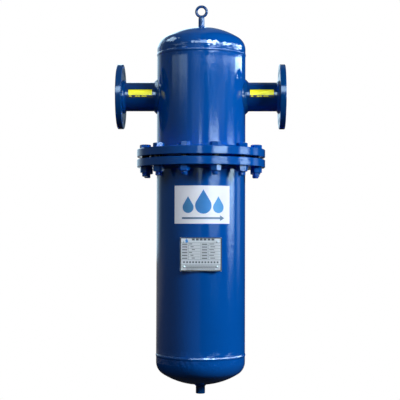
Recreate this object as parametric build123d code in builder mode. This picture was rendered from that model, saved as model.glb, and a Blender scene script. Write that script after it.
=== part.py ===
from build123d import *
import os
from math import asin, cos, degrees, radians, sin, sqrt, tan

# Compressed air water filter: a welded steel vessel that opens at a bolted flange joint. The inlet
# pipe feeds a plenum, three coalescing elements hang from its tube plate, and water leaves at the
# bottom. Millimetres. The origin is the centre of the inlet flange's raised face, +X runs along the
# pipeline to the outlet and +Z is up.

# Vessel
face_to_face = 520
shell_od = 273
shell_wall = 6
crown_ratio = 0.8
knuckle_ratio = 0.154
top_skirt = 17
bottom_skirt = 21.5
top_seam_height = 128
joint_depth = 192
bowl_length = 574

# Nozzles
pipe_od = 89
pipe_wall = 4
pipe_projection = 16.5
nozzle_face_width = 24
nozzle_hole_margin = 2
nozzle_edge_distance = 20
nozzle_flange_thickness = 18
nozzle_bolt_count = 8
nozzle_bolt_hole = 18

# Bolted joint between the upper and lower vessel
body_face_width = 23
body_hole_margin = 4
body_edge_distance = 22.5
body_flange_thickness = 24
body_bolt_count = 12
body_bolt_hole = 22
raised_face = 2
shell_setback = 7
gasket_thickness = 3
gasket_setback = 2
bolt_diameter = 20
bolt_length = 85
bolt_head_height = 12.5
bolt_flats = 30
nut_height = 18
bolt_tip = 2
hexagon_chamfer = 30

# Welds
root_face = 1.5
bevel_angle = 37.5
cap_lap = 2
cap_height = 2
nozzle_weld_leg = 10
flange_weld_leg = 8
seal_weld_leg = 5
small_weld_leg = 5
weld_bulge = 0.57

# Lifting eye and drain
boss_od = 19
boss_height = 25
boss_thread = 10
boss_thread_depth = 20
eye_collar_height = 5
eye_od = 40
eye_section = 8.5
eye_land = 0.25
eye_rise = 20.5
eye_neck_od = 13.6
eye_root_od = 5.7
drain_od = 28.4
drain_bore = 19
drain_length = 27.5
drain_chamfer = 1

# Plates, labels and decal
bracket_width = 118
bracket_height = 94
bracket_sheet = 2
bracket_standoff = 3
bracket_bend = 3
nameplate_width = 124
nameplate_height = 100
nameplate_sheet = 1
nameplate_corner = 3
nameplate_offset = 3
nameplate_drop = 291
rivet_diameter = 4
rivet_head = 8
rivet_head_height = 1.6
rivet_margin = 10
decal_width = 175
decal_height = 113
decal_turn = 3
decal_drop = 144
label_width = 27
label_flange_gap = 8
label_shell_gap = 1.5
label_turn = 7.5
film = 0.3
glue_line = 0.15

# Plenum and tube plate
elbow_radius = 114
plenum_height = 64
plenum_sheet = 4
plenum_bend = 10
plenum_gasket = 2
tube_plate_thickness = 10
plenum_screw = 6
plenum_screw_length = 14
plenum_screw_flats = 10
plenum_screw_head = 4
plenum_screw_tip = 1
plenum_screw_count = 8
rim_seat = 16.5

# Filter elements
element_count = 3
element_start = 90
element_od = 86
element_gap = 14
cap_sheet = 4
cap_rim = 8
cap_rim_wall = 1.5
spigot_od = 49.6
spigot_bore = 36
groove_width = 4
o_ring_section = 3
o_ring_fit = 0.075
core_od = 43
core_wall = 1.5
pleat_depth = 12
pleat_count = 24
pleat_wall = 1.2
cage_wall = 1.2
sleeve_wall = 5
window_width = 12
window_height = 60
window_rows = 4
window_columns = 4
window_cut = 6

# Tie rods
rod_diameter = 10
rod_end = 22
bridge_width = 16
bridge_height = 6
bridge_lap = 5
seal_washer_od = 22
seal_washer_thickness = 3
rod_nut_flats = 16
rod_nut_height = 8

# Anti-splash plate above the sump
splash_height = 50
splash_sheet = 3
splash_clearance = 3
splash_hole = 30
splash_lug_count = 3
splash_lug_start = 30
splash_lug_reach = 14
splash_lug_width = 22
splash_lug_height = 6
sump_clearance = 24

# Rings of holes in the anti-splash plate, placed as shares of its radius
inner_ring_ratio = 0.42
inner_ring_count = 6
outer_ring_ratio = 0.72
outer_ring_count = 9

# Clearances
pipe_fit = 0.5
slip_fit = 0.2
rim_chamfer = 1.5

# Levels and radii that follow from the sizes
axis_x = face_to_face / 2
shell_r = shell_od / 2
bore_r = shell_r - shell_wall
pipe_r = pipe_od / 2
pipe_hole_r = pipe_r + pipe_fit
flange_bore_r = shell_r + pipe_fit
crown_radius = crown_ratio * shell_od
knuckle_radius = knuckle_ratio * shell_od
nozzle_face_r = pipe_hole_r + nozzle_face_width
nozzle_circle_r = nozzle_face_r + nozzle_hole_margin + nozzle_bolt_hole / 2
nozzle_flange_r = nozzle_circle_r + nozzle_edge_distance
nozzle_back = raised_face + nozzle_flange_thickness
body_face_r = flange_bore_r + body_face_width
body_circle_r = body_face_r + body_hole_margin + body_bolt_hole / 2
body_flange_r = body_circle_r + body_edge_distance
face_gap = gasket_thickness / 2
upper_face = -joint_depth + face_gap
lower_face = -joint_depth - face_gap
joint_reach = raised_face + body_flange_thickness
bottom_seam = lower_face - joint_reach - bowl_length
head_spread = asin((shell_r - knuckle_radius) / (crown_radius - knuckle_radius))
crown_rise = (crown_radius - knuckle_radius) * cos(head_spread)
head_depth = crown_radius - crown_rise
crown = top_seam_height + top_skirt + head_depth
sump_bottom = bottom_seam - bottom_skirt - head_depth
drain_mouth = sump_bottom - drain_length
sheet_front = shell_r + bracket_standoff + bracket_sheet

vessel_axis = Axis((axis_x, 0, 0), (0, 0, 1))
vessel_section = Plane(origin=(axis_x, 0, 0), x_dir=(1, 0, 0), z_dir=(0, -1, 0))


def level(z, x=0.0, y=0.0):
    """Horizontal plane at the height z, measured from a point beside the vessel's axis."""
    return Plane((axis_x + x, y, z))


def save(piece, name):
    """Label a finished piece and write its STEP file."""
    piece.part.label = name
    export_step(piece.part, f"parts/{name}.step")


def tube(plane, outer_r, inner_r, length):
    """Plain round tube that grows from its plane."""
    with BuildPart() as part:
        with BuildSketch(plane):
            Circle(outer_r)
            Circle(inner_r, mode=Mode.SUBTRACT)
        extrude(amount=length)
    return part


def rod(plane, r, length):
    """Plain round rod that grows from its plane."""
    with BuildPart() as part:
        with BuildSketch(plane):
            Circle(r)
        extrude(amount=length)
    return part


def hexagon(across_flats, height, bore_r=0.0):
    """Hexagon with its top corners turned off, standing on the origin, with an optional hole."""
    corner_r = across_flats / sqrt(3)
    drop = (corner_r - across_flats / 2) * tan(radians(hexagon_chamfer))
    with BuildPart() as part:
        with BuildSketch():
            RegularPolygon(across_flats / 2, 6, major_radius=False)
        extrude(amount=height)
        with BuildSketch(Plane.XZ):
            with BuildLine():
                Polyline(
                    (0, 0), (corner_r, 0), (corner_r, height - drop),
                    (across_flats / 2, height), (0, height), close=True,
                )
            make_face()
        revolve(axis=Axis.Z, mode=Mode.INTERSECT)
        if bore_r:
            with BuildSketch():
                Circle(bore_r)
            extrude(amount=height, mode=Mode.SUBTRACT)
    return part


def bolt(across_flats, head_height, diameter, length, tip):
    """Hexagon bolt: the head stands on the origin and the shank hangs below it."""
    with BuildPart() as part:
        add(hexagon(across_flats, head_height).part)
        with BuildSketch(Plane.XZ):
            with BuildLine():
                Polyline(
                    (0, 0), (diameter / 2, 0), (diameter / 2, tip - length),
                    (diameter / 2 - tip, -length), (0, -length), close=True,
                )
            make_face()
        revolve(axis=Axis.Z)
    return part


def ring_of(piece, plane, circle_r, count, start=0.0):
    """Like pieces set round a circle, each a solid of its own."""
    with BuildPart() as group:
        with Locations(plane):
            with PolarLocations(circle_r, count, start_angle=start):
                add(piece.part)
    return group


def fillet_weld(section, axis, r, back, leg, away):
    """Weld in the corner of a pipe and a plate: `away` is the way from the plate along the pipe."""
    on_pipe = (r, back + away * leg)
    on_plate = (r + leg, back)
    bulge = (r + leg * weld_bulge, back + away * leg * weld_bulge)
    with BuildPart() as weld:
        with BuildSketch(section):
            with BuildLine():
                ThreePointArc(on_pipe, bulge, on_plate)
                Polyline(on_plate, (r, back), on_pipe)
            make_face()
        revolve(axis=axis)
    return weld


def seal_weld(section, axis, r, face, leg, away):
    """Weld that fills a bevelled corner flush: `away` is the way from the face into the plate."""
    with BuildPart() as weld:
        with BuildSketch(section):
            with BuildLine():
                Polyline((r, face), (r + leg, face), (r, face + away * leg), close=True)
            make_face()
        revolve(axis=axis)
    return weld


# Butt seams: both edges are bevelled to a root face, and the weld fills the groove
groove_depth = shell_wall - root_face
groove_half = groove_depth * tan(radians(bevel_angle))
root_r = bore_r + root_face
cap_half = groove_half + cap_lap


def seam_weld(seam):
    """Ring of weld in the groove of a butt seam, with a low cap on the outside."""
    with BuildPart() as weld:
        with BuildSketch(vessel_section):
            with BuildLine():
                Polyline(
                    (shell_r, seam + cap_half), (shell_r, seam + groove_half), (root_r, seam),
                    (shell_r, seam - groove_half), (shell_r, seam - cap_half),
                )
                ThreePointArc(
                    (shell_r, seam - cap_half), (shell_r + cap_height, seam),
                    (shell_r, seam + cap_half),
                )
            make_face()
        revolve(axis=vessel_axis)
    return weld


def head_curve(tangent, up, inset=0):
    """Knuckle and crown of a dished head's section, for a BuildLine block: both arcs are returned."""
    turn = 90 - degrees(head_spread)
    knuckle = CenterArc(
        (shell_r - knuckle_radius, tangent), knuckle_radius - inset, 0, up * turn
    )
    crown_arc = CenterArc(
        (0, tangent - up * crown_rise), crown_radius - inset, up * turn, up * degrees(head_spread)
    )
    return knuckle, crown_arc


def dished_head(seam, skirt, up):
    """Dished head with a straight skirt: `up` is +1 for the top head and -1 for the bottom one."""
    tangent = seam + up * skirt
    with BuildPart() as head:
        with BuildSketch(vessel_section):
            with BuildLine():
                outer_knuckle, outer_crown = head_curve(tangent, up)
                inner_knuckle, inner_crown = head_curve(tangent, up, shell_wall)
                Line(outer_crown @ 1, inner_crown @ 1)
                Polyline(
                    inner_knuckle @ 0, (bore_r, seam), (root_r, seam),
                    (shell_r, seam + up * groove_half), outer_knuckle @ 0,
                )
            make_face()
        revolve(axis=vessel_axis)
    return head


def head_envelope(tangent, up):
    """Solid filling of a head, used to cut what stands on it."""
    with BuildPart() as envelope:
        with BuildSketch(vessel_section):
            with BuildLine():
                knuckle, crown_arc = head_curve(tangent, up)
                Polyline(crown_arc @ 1, (0, tangent), knuckle @ 0)
            make_face()
        revolve(axis=vessel_axis)
    return envelope


def shell_course(seam, end, up):
    """Shell from its bevelled seam to its square end: `up` is +1 where the seam is the top."""
    with BuildPart() as shell:
        with BuildSketch(vessel_section):
            with BuildLine():
                Polyline(
                    (bore_r, seam), (root_r, seam), (shell_r, seam - up * groove_half),
                    (shell_r, end), (bore_r, end), close=True,
                )
            make_face()
        revolve(axis=vessel_axis)
    return shell


# Heads and shells
upper_head = dished_head(top_seam_height, top_skirt, 1)
save(upper_head, "upper_head")

with BuildPart() as lower_head:
    add(dished_head(bottom_seam, bottom_skirt, -1).part)
    add(rod(level(drain_mouth), drain_bore / 2, drain_length + head_depth).part, mode=Mode.SUBTRACT)
save(lower_head, "lower_head")

save(seam_weld(top_seam_height), "top_seam_weld")
save(seam_weld(bottom_seam), "bottom_seam_weld")

upper_end = upper_face + shell_setback
lower_end = lower_face - shell_setback
with BuildPart() as upper_shell:
    add(shell_course(top_seam_height, upper_end, 1).part)
    add(rod(Plane.YZ, pipe_hole_r, face_to_face).part, mode=Mode.SUBTRACT)
save(upper_shell, "upper_shell")

lower_shell = shell_course(bottom_seam, lower_end, -1)
save(lower_shell, "lower_shell")


# Nozzles: inward is +1 at the inlet and -1 at the outlet
shell_rod = rod(level(upper_end), shell_r, top_seam_height - upper_end)


def nozzle(name, face_x, inward, pipe_length):
    """Pipe, flange and welds of one nozzle."""
    across = Plane((face_x, 0, 0), x_dir=(0, 1, 0), z_dir=(inward, 0, 0))
    section = Plane((face_x, 0, 0), x_dir=(0, 0, 1), z_dir=(0, inward, 0))
    line = Axis((face_x, 0, 0), (inward, 0, 0))
    save(tube(across, pipe_r, pipe_r - pipe_wall, pipe_length), f"{name}_pipe")

    with BuildPart() as flange:
        with BuildSketch(across):
            Circle(nozzle_face_r)
        extrude(amount=raised_face)
        with BuildSketch(across.offset(raised_face)):
            Circle(nozzle_flange_r)
        extrude(amount=nozzle_flange_thickness)
        rims = flange.edges().filter_by(GeomType.CIRCLE).group_by(SortBy.RADIUS)[-1]
        chamfer(rims, rim_chamfer)
        with BuildSketch(across):
            Circle(pipe_hole_r)
            with PolarLocations(
                nozzle_circle_r, nozzle_bolt_count, start_angle=180 / nozzle_bolt_count
            ):
                Circle(nozzle_bolt_hole / 2)
        extrude(amount=nozzle_back, mode=Mode.SUBTRACT)
        add(seal_weld(section, line, pipe_r, 0, seal_weld_leg + pipe_fit, 1).part, mode=Mode.SUBTRACT)
    save(flange, f"{name}_flange")

    pipe_rod = rod(across, pipe_r, axis_x)
    with BuildPart() as corner:
        add(shell_rod.part)
        add(pipe_rod.part)
        chamfer(corner.edges().filter_by(GeomType.BSPLINE), nozzle_weld_leg)
    with BuildPart() as welds:
        add(corner.part)
        add(shell_rod.part, mode=Mode.SUBTRACT)
        add(pipe_rod.part, mode=Mode.SUBTRACT)
        add(fillet_weld(section, line, pipe_r, nozzle_back, flange_weld_leg, 1).part)
        add(seal_weld(section, line, pipe_r, 0, seal_weld_leg + pipe_fit, 1).part)
    save(welds, f"{name}_welds")


nozzle("inlet", 0, 1, axis_x - elbow_radius)
nozzle("outlet", face_to_face, -1, axis_x - bore_r + pipe_projection)


# Body flanges and their welds
bolt_start = 180 / body_bolt_count


def body_flange(face, up):
    """Plate flange of the bolted joint: `up` is the way from its raised face into its plate."""
    with BuildPart() as flange:
        with BuildSketch(level(face)):
            Circle(body_face_r)
        extrude(amount=up * raised_face)
        with BuildSketch(level(face + up * raised_face)):
            Circle(body_flange_r)
        extrude(amount=up * body_flange_thickness)
        rims = flange.edges().filter_by(GeomType.CIRCLE).group_by(SortBy.RADIUS)[-1]
        chamfer(rims, rim_chamfer)
        with BuildSketch(level(face)):
            Circle(flange_bore_r)
            with PolarLocations(body_circle_r, body_bolt_count, start_angle=bolt_start):
                Circle(body_bolt_hole / 2)
        extrude(amount=up * joint_reach, mode=Mode.SUBTRACT)
    return flange


def body_welds(face, up):
    """Fillet weld behind a body flange and the weld inside it, on the shell's set-back end."""
    end = face + up * shell_setback
    leg = shell_setback - raised_face
    back = face + up * joint_reach
    with BuildPart() as welds:
        add(fillet_weld(vessel_section, vessel_axis, shell_r, back, flange_weld_leg, up).part)
        with BuildSketch(vessel_section):
            with BuildLine():
                Polyline(
                    (flange_bore_r, end), (flange_bore_r - leg, end),
                    (flange_bore_r, end - up * leg), close=True,
                )
            make_face()
        revolve(axis=vessel_axis)
    return welds


save(body_flange(upper_face, 1), "upper_body_flange")
save(body_flange(lower_face, -1), "lower_body_flange")
save(body_welds(upper_face, 1), "upper_flange_welds")
save(body_welds(lower_face, -1), "lower_flange_welds")

body_gasket = tube(
    level(lower_face), body_face_r, flange_bore_r + gasket_setback, gasket_thickness
)
save(body_gasket, "body_gasket")

body_bolt = bolt(bolt_flats, bolt_head_height, bolt_diameter, bolt_length, bolt_tip)
body_bolts = ring_of(
    body_bolt, level(upper_face + joint_reach), body_circle_r, body_bolt_count, bolt_start
)
save(body_bolts, "body_bolts")

with BuildPart() as body_nut:
    add(hexagon(bolt_flats, nut_height, bolt_diameter / 2).part, rotation=(180, 0, 0))
body_nuts = ring_of(
    body_nut, level(lower_face - joint_reach), body_circle_r, body_bolt_count, bolt_start
)
save(body_nuts, "body_nuts")

# Lifting boss and eye
top_envelope = head_envelope(top_seam_height + top_skirt, 1)
boss_top = crown + boss_height
with BuildPart() as lifting_boss:
    add(rod(level(crown - boss_height), boss_od / 2, 2 * boss_height).part)
    add(top_envelope.part, mode=Mode.SUBTRACT)
    add(
        rod(level(boss_top), boss_thread / 2, -boss_thread_depth).part, mode=Mode.SUBTRACT
    )
save(lifting_boss, "lifting_boss")

with BuildPart() as lifting_boss_weld:
    add(
        fillet_weld(
            vessel_section, vessel_axis, boss_od / 2, crown - small_weld_leg, 2 * small_weld_leg, 1
        ).part
    )
    add(top_envelope.part, mode=Mode.SUBTRACT)
save(lifting_boss_weld, "lifting_boss_weld")

eye_z = boss_top + eye_rise + eye_collar_height
eye_mean_r = (eye_od - eye_section) / 2
collar_top = boss_top + eye_collar_height
with BuildPart() as lifting_eye:
    with BuildSketch(vessel_section):
        with BuildLine():
            Polyline(
                (0, boss_top - boss_thread_depth + slip_fit),
                (boss_thread / 2, boss_top - boss_thread_depth + slip_fit),
                (boss_thread / 2, boss_top), (boss_od / 2, boss_top),
                (boss_od / 2, collar_top), (eye_neck_od / 2, collar_top),
                (eye_root_od / 2, eye_z - eye_mean_r), (0, eye_z - eye_mean_r), close=True,
            )
        make_face()
    revolve(axis=vessel_axis)
    with BuildSketch(level(eye_z)):
        with Locations((eye_mean_r, 0)):
            Circle(eye_section / 2)
    revolve(axis=Axis((axis_x, 0, eye_z), (0, 1, 0)))
    with BuildSketch(Plane((axis_x, -eye_section, eye_z), x_dir=(1, 0, 0), z_dir=(0, 1, 0))):
        Circle(eye_mean_r - eye_section / 2 + eye_land)
    extrude(amount=2 * eye_section, mode=Mode.SUBTRACT)
save(lifting_eye, "lifting_eye")

# Drain socket
bottom_envelope = head_envelope(bottom_seam - bottom_skirt, -1)
with BuildPart() as drain_socket:
    add(tube(level(drain_mouth), drain_od / 2, drain_bore / 2, 2 * drain_length).part)
    add(bottom_envelope.part, mode=Mode.SUBTRACT)
    mouth_edges = drain_socket.edges().filter_by(GeomType.CIRCLE).group_by(Axis.Z)[0]
    chamfer(mouth_edges, drain_chamfer)
save(drain_socket, "drain_socket")

with BuildPart() as drain_socket_weld:
    add(
        fillet_weld(
            vessel_section, vessel_axis, drain_od / 2, sump_bottom + small_weld_leg,
            2 * small_weld_leg, -1,
        ).part
    )
    add(bottom_envelope.part, mode=Mode.SUBTRACT)
save(drain_socket_weld, "drain_socket_weld")


# Nameplate on its bracket
def rivet_places():
    """Corner places of the rivets on the nameplate."""
    return GridLocations(
        bracket_width - 2 * rivet_margin, bracket_height - 2 * rivet_margin, 2, 2
    )


bowl_rod = rod(level(bottom_seam), shell_r, lower_end - bottom_seam)
nameplate_z = -joint_depth - nameplate_drop
plate_front = Plane(
    (axis_x + nameplate_offset, -sheet_front, nameplate_z), x_dir=(1, 0, 0), z_dir=(0, -1, 0)
)
leg_depth = sheet_front - sqrt(shell_r**2 - (bracket_width / 2 + nameplate_offset) ** 2)
with BuildPart() as nameplate_bracket:
    with BuildSketch(level(nameplate_z - bracket_height / 2, nameplate_offset, -sheet_front)):
        with BuildLine():
            FilletPolyline(
                (-bracket_width / 2, leg_depth + shell_wall), (-bracket_width / 2, 0),
                (bracket_width / 2, 0), (bracket_width / 2, leg_depth + shell_wall),
                radius=bracket_bend,
            )
            offset(amount=bracket_sheet, side=Side.LEFT)
        make_face()
    extrude(amount=bracket_height)
    add(bowl_rod.part, mode=Mode.SUBTRACT)
    with BuildSketch(plate_front):
        with rivet_places():
            Circle(rivet_diameter / 2)
    extrude(amount=-bracket_sheet, mode=Mode.SUBTRACT)
save(nameplate_bracket, "nameplate_bracket")

with BuildPart() as nameplate:
    with BuildSketch(plate_front):
        RectangleRounded(nameplate_width, nameplate_height, nameplate_corner)
        with rivet_places():
            Circle(rivet_diameter / 2, mode=Mode.SUBTRACT)
    extrude(amount=nameplate_sheet)
save(nameplate, "nameplate")

rivet_dome = rivet_head**2 / 8 / rivet_head_height + rivet_head_height / 2
with BuildPart() as rivet:
    with BuildSketch(Plane.XZ):
        with BuildLine():
            shank = Polyline(
                (0, rivet_head_height), (0, -nameplate_sheet - bracket_sheet),
                (rivet_diameter / 2, -nameplate_sheet - bracket_sheet),
                (rivet_diameter / 2, 0), (rivet_head / 2, 0),
            )
            RadiusArc(shank @ 1, shank @ 0, -rivet_dome)
        make_face()
    revolve(axis=Axis.Z)
with BuildPart() as nameplate_rivets:
    with Locations(plate_front.offset(nameplate_sheet)):
        with rivet_places():
            add(rivet.part)
save(nameplate_rivets, "nameplate_rivets")


# Stickers bent round the shell and the pipes
def curved_sheet(start, r, middle, arc_length, reach):
    """Thin sheet bent round a cylinder that stands on the plane `start`."""
    spread = degrees(arc_length / r)
    with BuildPart() as sheet:
        with BuildSketch(start):
            with BuildLine():
                inner = CenterArc((0, 0), r + glue_line, middle - spread / 2, spread)
                outer = CenterArc((0, 0), r + film, middle - spread / 2, spread)
                Line(inner @ 0, outer @ 0)
                Line(inner @ 1, outer @ 1)
            make_face()
        extrude(amount=reach)
    return sheet


decal_foot = Plane((axis_x, 0, -joint_depth - decal_drop - decal_height / 2), x_dir=(0, -1, 0))
save(curved_sheet(decal_foot, shell_r, decal_turn, decal_width, decal_height), "front_decal")

label_from = nozzle_back + flange_weld_leg + label_flange_gap
label_to = axis_x - shell_r - nozzle_weld_leg - label_shell_gap
label_length = label_to - label_from
for port, label_end in (("inlet", label_to), ("outlet", face_to_face - label_from)):
    label_start = Plane((label_end, 0, 0), x_dir=(0, -1, 0), z_dir=(-1, 0, 0))
    label = curved_sheet(label_start, pipe_r, label_turn, label_width, label_length)
    save(label, f"{port}_label")

# Inlet elbow, down on to the vessel's axis
with BuildPart() as inlet_elbow:
    with BuildSketch(Plane.YZ.offset(axis_x - elbow_radius)):
        Circle(pipe_r)
        Circle(pipe_r - pipe_wall, mode=Mode.SUBTRACT)
    revolve(axis=Axis((axis_x - elbow_radius, 0, -elbow_radius), (0, 1, 0)), revolution_arc=90)
save(inlet_elbow, "inlet_elbow")

# Tube plate and the plenum screwed to it
spigot_hole_r = spigot_od / 2 + slip_fit
element_circle_r = (element_od + element_gap) / (2 * sin(radians(180 / element_count)))
plenum_r = element_circle_r + spigot_hole_r + plenum_bend + plenum_sheet
tube_plate_r = plenum_r + rim_seat
screw_circle_r = plenum_r + rim_seat / 2
plenum_ceiling = -elbow_radius
rim_top = plenum_ceiling - plenum_height
rim_bottom = rim_top - plenum_sheet
plate_top = rim_bottom - plenum_gasket
plate_bottom = plate_top - tube_plate_thickness
rod_screw_r = plenum_screw / 2

with BuildPart() as plenum_cover:
    with BuildSketch(vessel_section):
        with BuildLine():
            FilletPolyline(
                (pipe_hole_r, plenum_ceiling), (plenum_r - plenum_sheet, plenum_ceiling),
                (plenum_r - plenum_sheet, rim_bottom), radius=plenum_bend,
            )
            Polyline(
                (plenum_r - plenum_sheet, rim_bottom), (tube_plate_r, rim_bottom),
                (tube_plate_r, rim_top), (plenum_r, rim_top),
            )
            FilletPolyline(
                (plenum_r, rim_top), (plenum_r, plenum_ceiling + plenum_sheet),
                (pipe_hole_r, plenum_ceiling + plenum_sheet), radius=plenum_bend + plenum_sheet,
            )
            Line((pipe_hole_r, plenum_ceiling + plenum_sheet), (pipe_hole_r, plenum_ceiling))
        make_face()
    revolve(axis=vessel_axis)
    with BuildSketch(level(rim_top)):
        with PolarLocations(screw_circle_r, plenum_screw_count):
            Circle(rod_screw_r + slip_fit)
    extrude(amount=-plenum_sheet, mode=Mode.SUBTRACT)
save(plenum_cover, "plenum_cover")

with BuildPart() as plenum_gasket_ring:
    with BuildSketch(level(plate_top)):
        Circle(tube_plate_r)
        Circle(plenum_r - plenum_sheet, mode=Mode.SUBTRACT)
        with PolarLocations(screw_circle_r, plenum_screw_count):
            Circle(rod_screw_r + slip_fit, mode=Mode.SUBTRACT)
    extrude(amount=plenum_gasket)
save(plenum_gasket_ring, "plenum_gasket")

with BuildPart() as tube_plate:
    with BuildSketch(level(plate_bottom)):
        Circle(tube_plate_r)
        with PolarLocations(element_circle_r, element_count, start_angle=element_start):
            Circle(spigot_hole_r, mode=Mode.SUBTRACT)
        with PolarLocations(screw_circle_r, plenum_screw_count):
            Circle(rod_screw_r, mode=Mode.SUBTRACT)
    extrude(amount=tube_plate_thickness)
save(tube_plate, "tube_plate")

plenum_screw_piece = bolt(
    plenum_screw_flats, plenum_screw_head, plenum_screw, plenum_screw_length, plenum_screw_tip
)
save(
    ring_of(plenum_screw_piece, level(rim_top), screw_circle_r, plenum_screw_count),
    "plenum_screws",
)

# Anti-splash plate on lugs above the sump
splash_bottom = bottom_seam + splash_height
splash_top = splash_bottom + splash_sheet
splash_r = bore_r - splash_clearance
with BuildPart() as splash_plate:
    with BuildSketch(level(splash_bottom)):
        Circle(splash_r)
        Circle(splash_hole / 2, mode=Mode.SUBTRACT)
        for share, hole_count in ((inner_ring_ratio, inner_ring_count), (outer_ring_ratio, outer_ring_count)):
            with PolarLocations(splash_r * share, hole_count):
                Circle(splash_hole / 2, mode=Mode.SUBTRACT)
    extrude(amount=splash_sheet)
save(splash_plate, "splash_plate")

with BuildPart() as splash_plate_lugs:
    with BuildSketch(level(splash_bottom - splash_lug_height)):
        with PolarLocations(bore_r, splash_lug_count, start_angle=splash_lug_start):
            Rectangle(2 * splash_lug_reach, splash_lug_width)
        Circle(bore_r, mode=Mode.INTERSECT)
    extrude(amount=splash_lug_height)
save(splash_plate_lugs, "splash_plate_lugs")

# Element levels: the rods end a set distance above the anti-splash plate
rod_foot = splash_top + sump_clearance
cap_bottom = rod_foot + rod_end
cap_top = plate_bottom
element_r = element_od / 2
media_top = cap_top - cap_sheet
media_bottom = cap_bottom + cap_sheet
media_length = media_top - media_bottom
sleeve_r = element_r - cap_rim_wall - slip_fit
cage_r = sleeve_r - sleeve_wall
pleat_tip_r = cage_r - cage_wall - slip_fit
pleat_root_r = pleat_tip_r - pleat_depth
bridge_length = 2 * (spigot_hole_r + bridge_lap)


def windowed_tube(start, r, wall, length):
    """Tube with rows of tall windows through its wall."""
    pitch = length / window_rows
    with BuildPart() as part:
        add(tube(start, r, r - wall, length).part)
        with Locations(start):
            with Locations(*[(0, 0, pitch * (row + 0.5)) for row in range(window_rows)]):
                with PolarLocations(r, window_columns):
                    Box(window_cut, window_width, window_height, mode=Mode.SUBTRACT)
    return part


def end_cap(axis, section, face, into, throat_r):
    """Cup that holds the end of an element: `into` is the way from its face to the media."""
    rim = face + into * (cap_sheet + cap_rim)
    floor = face + into * cap_sheet
    with BuildPart() as cap:
        with BuildSketch(section):
            with BuildLine():
                Polyline(
                    (throat_r, face), (element_r, face), (element_r, rim),
                    (element_r - cap_rim_wall, rim), (element_r - cap_rim_wall, floor),
                    (throat_r, floor), close=True,
                )
            make_face()
        revolve(axis=axis)
    return cap


def pleat_points(inset):
    """Corners of the pleated outline, moved in by the inset."""
    step = radians(180 / pleat_count)
    points = []
    for corner in range(2 * pleat_count):
        r = (pleat_tip_r if corner % 2 else pleat_root_r) - inset
        points.append((r * cos(corner * step), r * sin(corner * step)))
    return points


def pleated_media(start, length):
    """Pleated wall: its outline steps out and in once for each pleat."""
    with BuildPart() as media:
        with BuildSketch(start):
            with BuildLine():
                Polyline(*pleat_points(0), close=True)
            make_face()
            with BuildLine():
                Polyline(*pleat_points(pleat_wall), close=True)
            make_face(mode=Mode.SUBTRACT)
        extrude(amount=length)
    return media


groove_r = spigot_hole_r - o_ring_section
groove_z = plate_bottom + tube_plate_thickness / 2
spigot_r = spigot_od / 2

for number in range(element_count):
    turn = radians(element_start + 360 * number / element_count)
    x = element_circle_r * cos(turn)
    y = element_circle_r * sin(turn)
    axis = Axis((axis_x + x, y, 0), (0, 0, 1))
    section = Plane((axis_x + x, y, 0), x_dir=(1, 0, 0), z_dir=(0, -1, 0))
    name = f"element_{number + 1}"

    with BuildPart() as top_cap:
        add(end_cap(axis, section, cap_top, -1, spigot_bore / 2).part)
        with BuildSketch(section):
            with BuildLine():
                Polyline(
                    (spigot_bore / 2, cap_top), (spigot_r, cap_top),
                    (spigot_r, groove_z - groove_width / 2), (groove_r, groove_z - groove_width / 2),
                    (groove_r, groove_z + groove_width / 2), (spigot_r, groove_z + groove_width / 2),
                    (spigot_r, plate_top), (spigot_bore / 2, plate_top), close=True,
                )
            make_face()
        revolve(axis=axis)
    save(top_cap, f"{name}_top_cap")
    save(end_cap(axis, section, cap_bottom, 1, rod_diameter / 2 + slip_fit), f"{name}_bottom_cap")

    foot = level(media_bottom, x, y)
    core = windowed_tube(foot, core_od / 2, core_wall, media_length)
    save(core, f"{name}_core")
    save(pleated_media(foot, media_length), f"{name}_media")
    save(windowed_tube(foot, cage_r, cage_wall, media_length), f"{name}_cage")
    save(tube(foot, sleeve_r, cage_r, media_length), f"{name}_sleeve")

# Seals, tie rods and their nuts: one of each for every element
with BuildPart() as o_ring:
    with BuildSketch(Plane.XZ):
        with Locations((groove_r + o_ring_section / 2, 0)):
            Circle(o_ring_section / 2 - o_ring_fit)
    revolve(axis=Axis.Z)
save(ring_of(o_ring, level(groove_z), element_circle_r, element_count, element_start), "spigot_o_rings")

with BuildPart() as bridge:
    Box(bridge_length, bridge_width, bridge_height, align=(Align.CENTER, Align.CENTER, Align.MIN))
    with BuildSketch():
        Circle(rod_diameter / 2)
    extrude(amount=bridge_height, mode=Mode.SUBTRACT)
rod_bridges = ring_of(bridge, level(plate_top), element_circle_r, element_count, element_start)
save(rod_bridges, "rod_bridges")

tie_rod = rod(Plane.XY, rod_diameter / 2, plate_top + bridge_height - rod_foot)
save(ring_of(tie_rod, level(rod_foot), element_circle_r, element_count, element_start), "tie_rods")

seal_washer = tube(
    Plane.XY, seal_washer_od / 2, rod_diameter / 2 + slip_fit, seal_washer_thickness
)
washer_foot = level(cap_bottom - seal_washer_thickness)
save(ring_of(seal_washer, washer_foot, element_circle_r, element_count, element_start), "seal_washers")

with BuildPart() as rod_nut:
    add(hexagon(rod_nut_flats, rod_nut_height, rod_diameter / 2).part, rotation=(180, 0, 0))
nut_top = level(cap_bottom - seal_washer_thickness)
save(ring_of(rod_nut, nut_top, element_circle_r, element_count, element_start), "rod_nuts")
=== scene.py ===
import bmesh
import bpy
from math import atan, atan2, cos, pi, radians, sin, sqrt, tan
from mathutils import Matrix, Vector, noise


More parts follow.
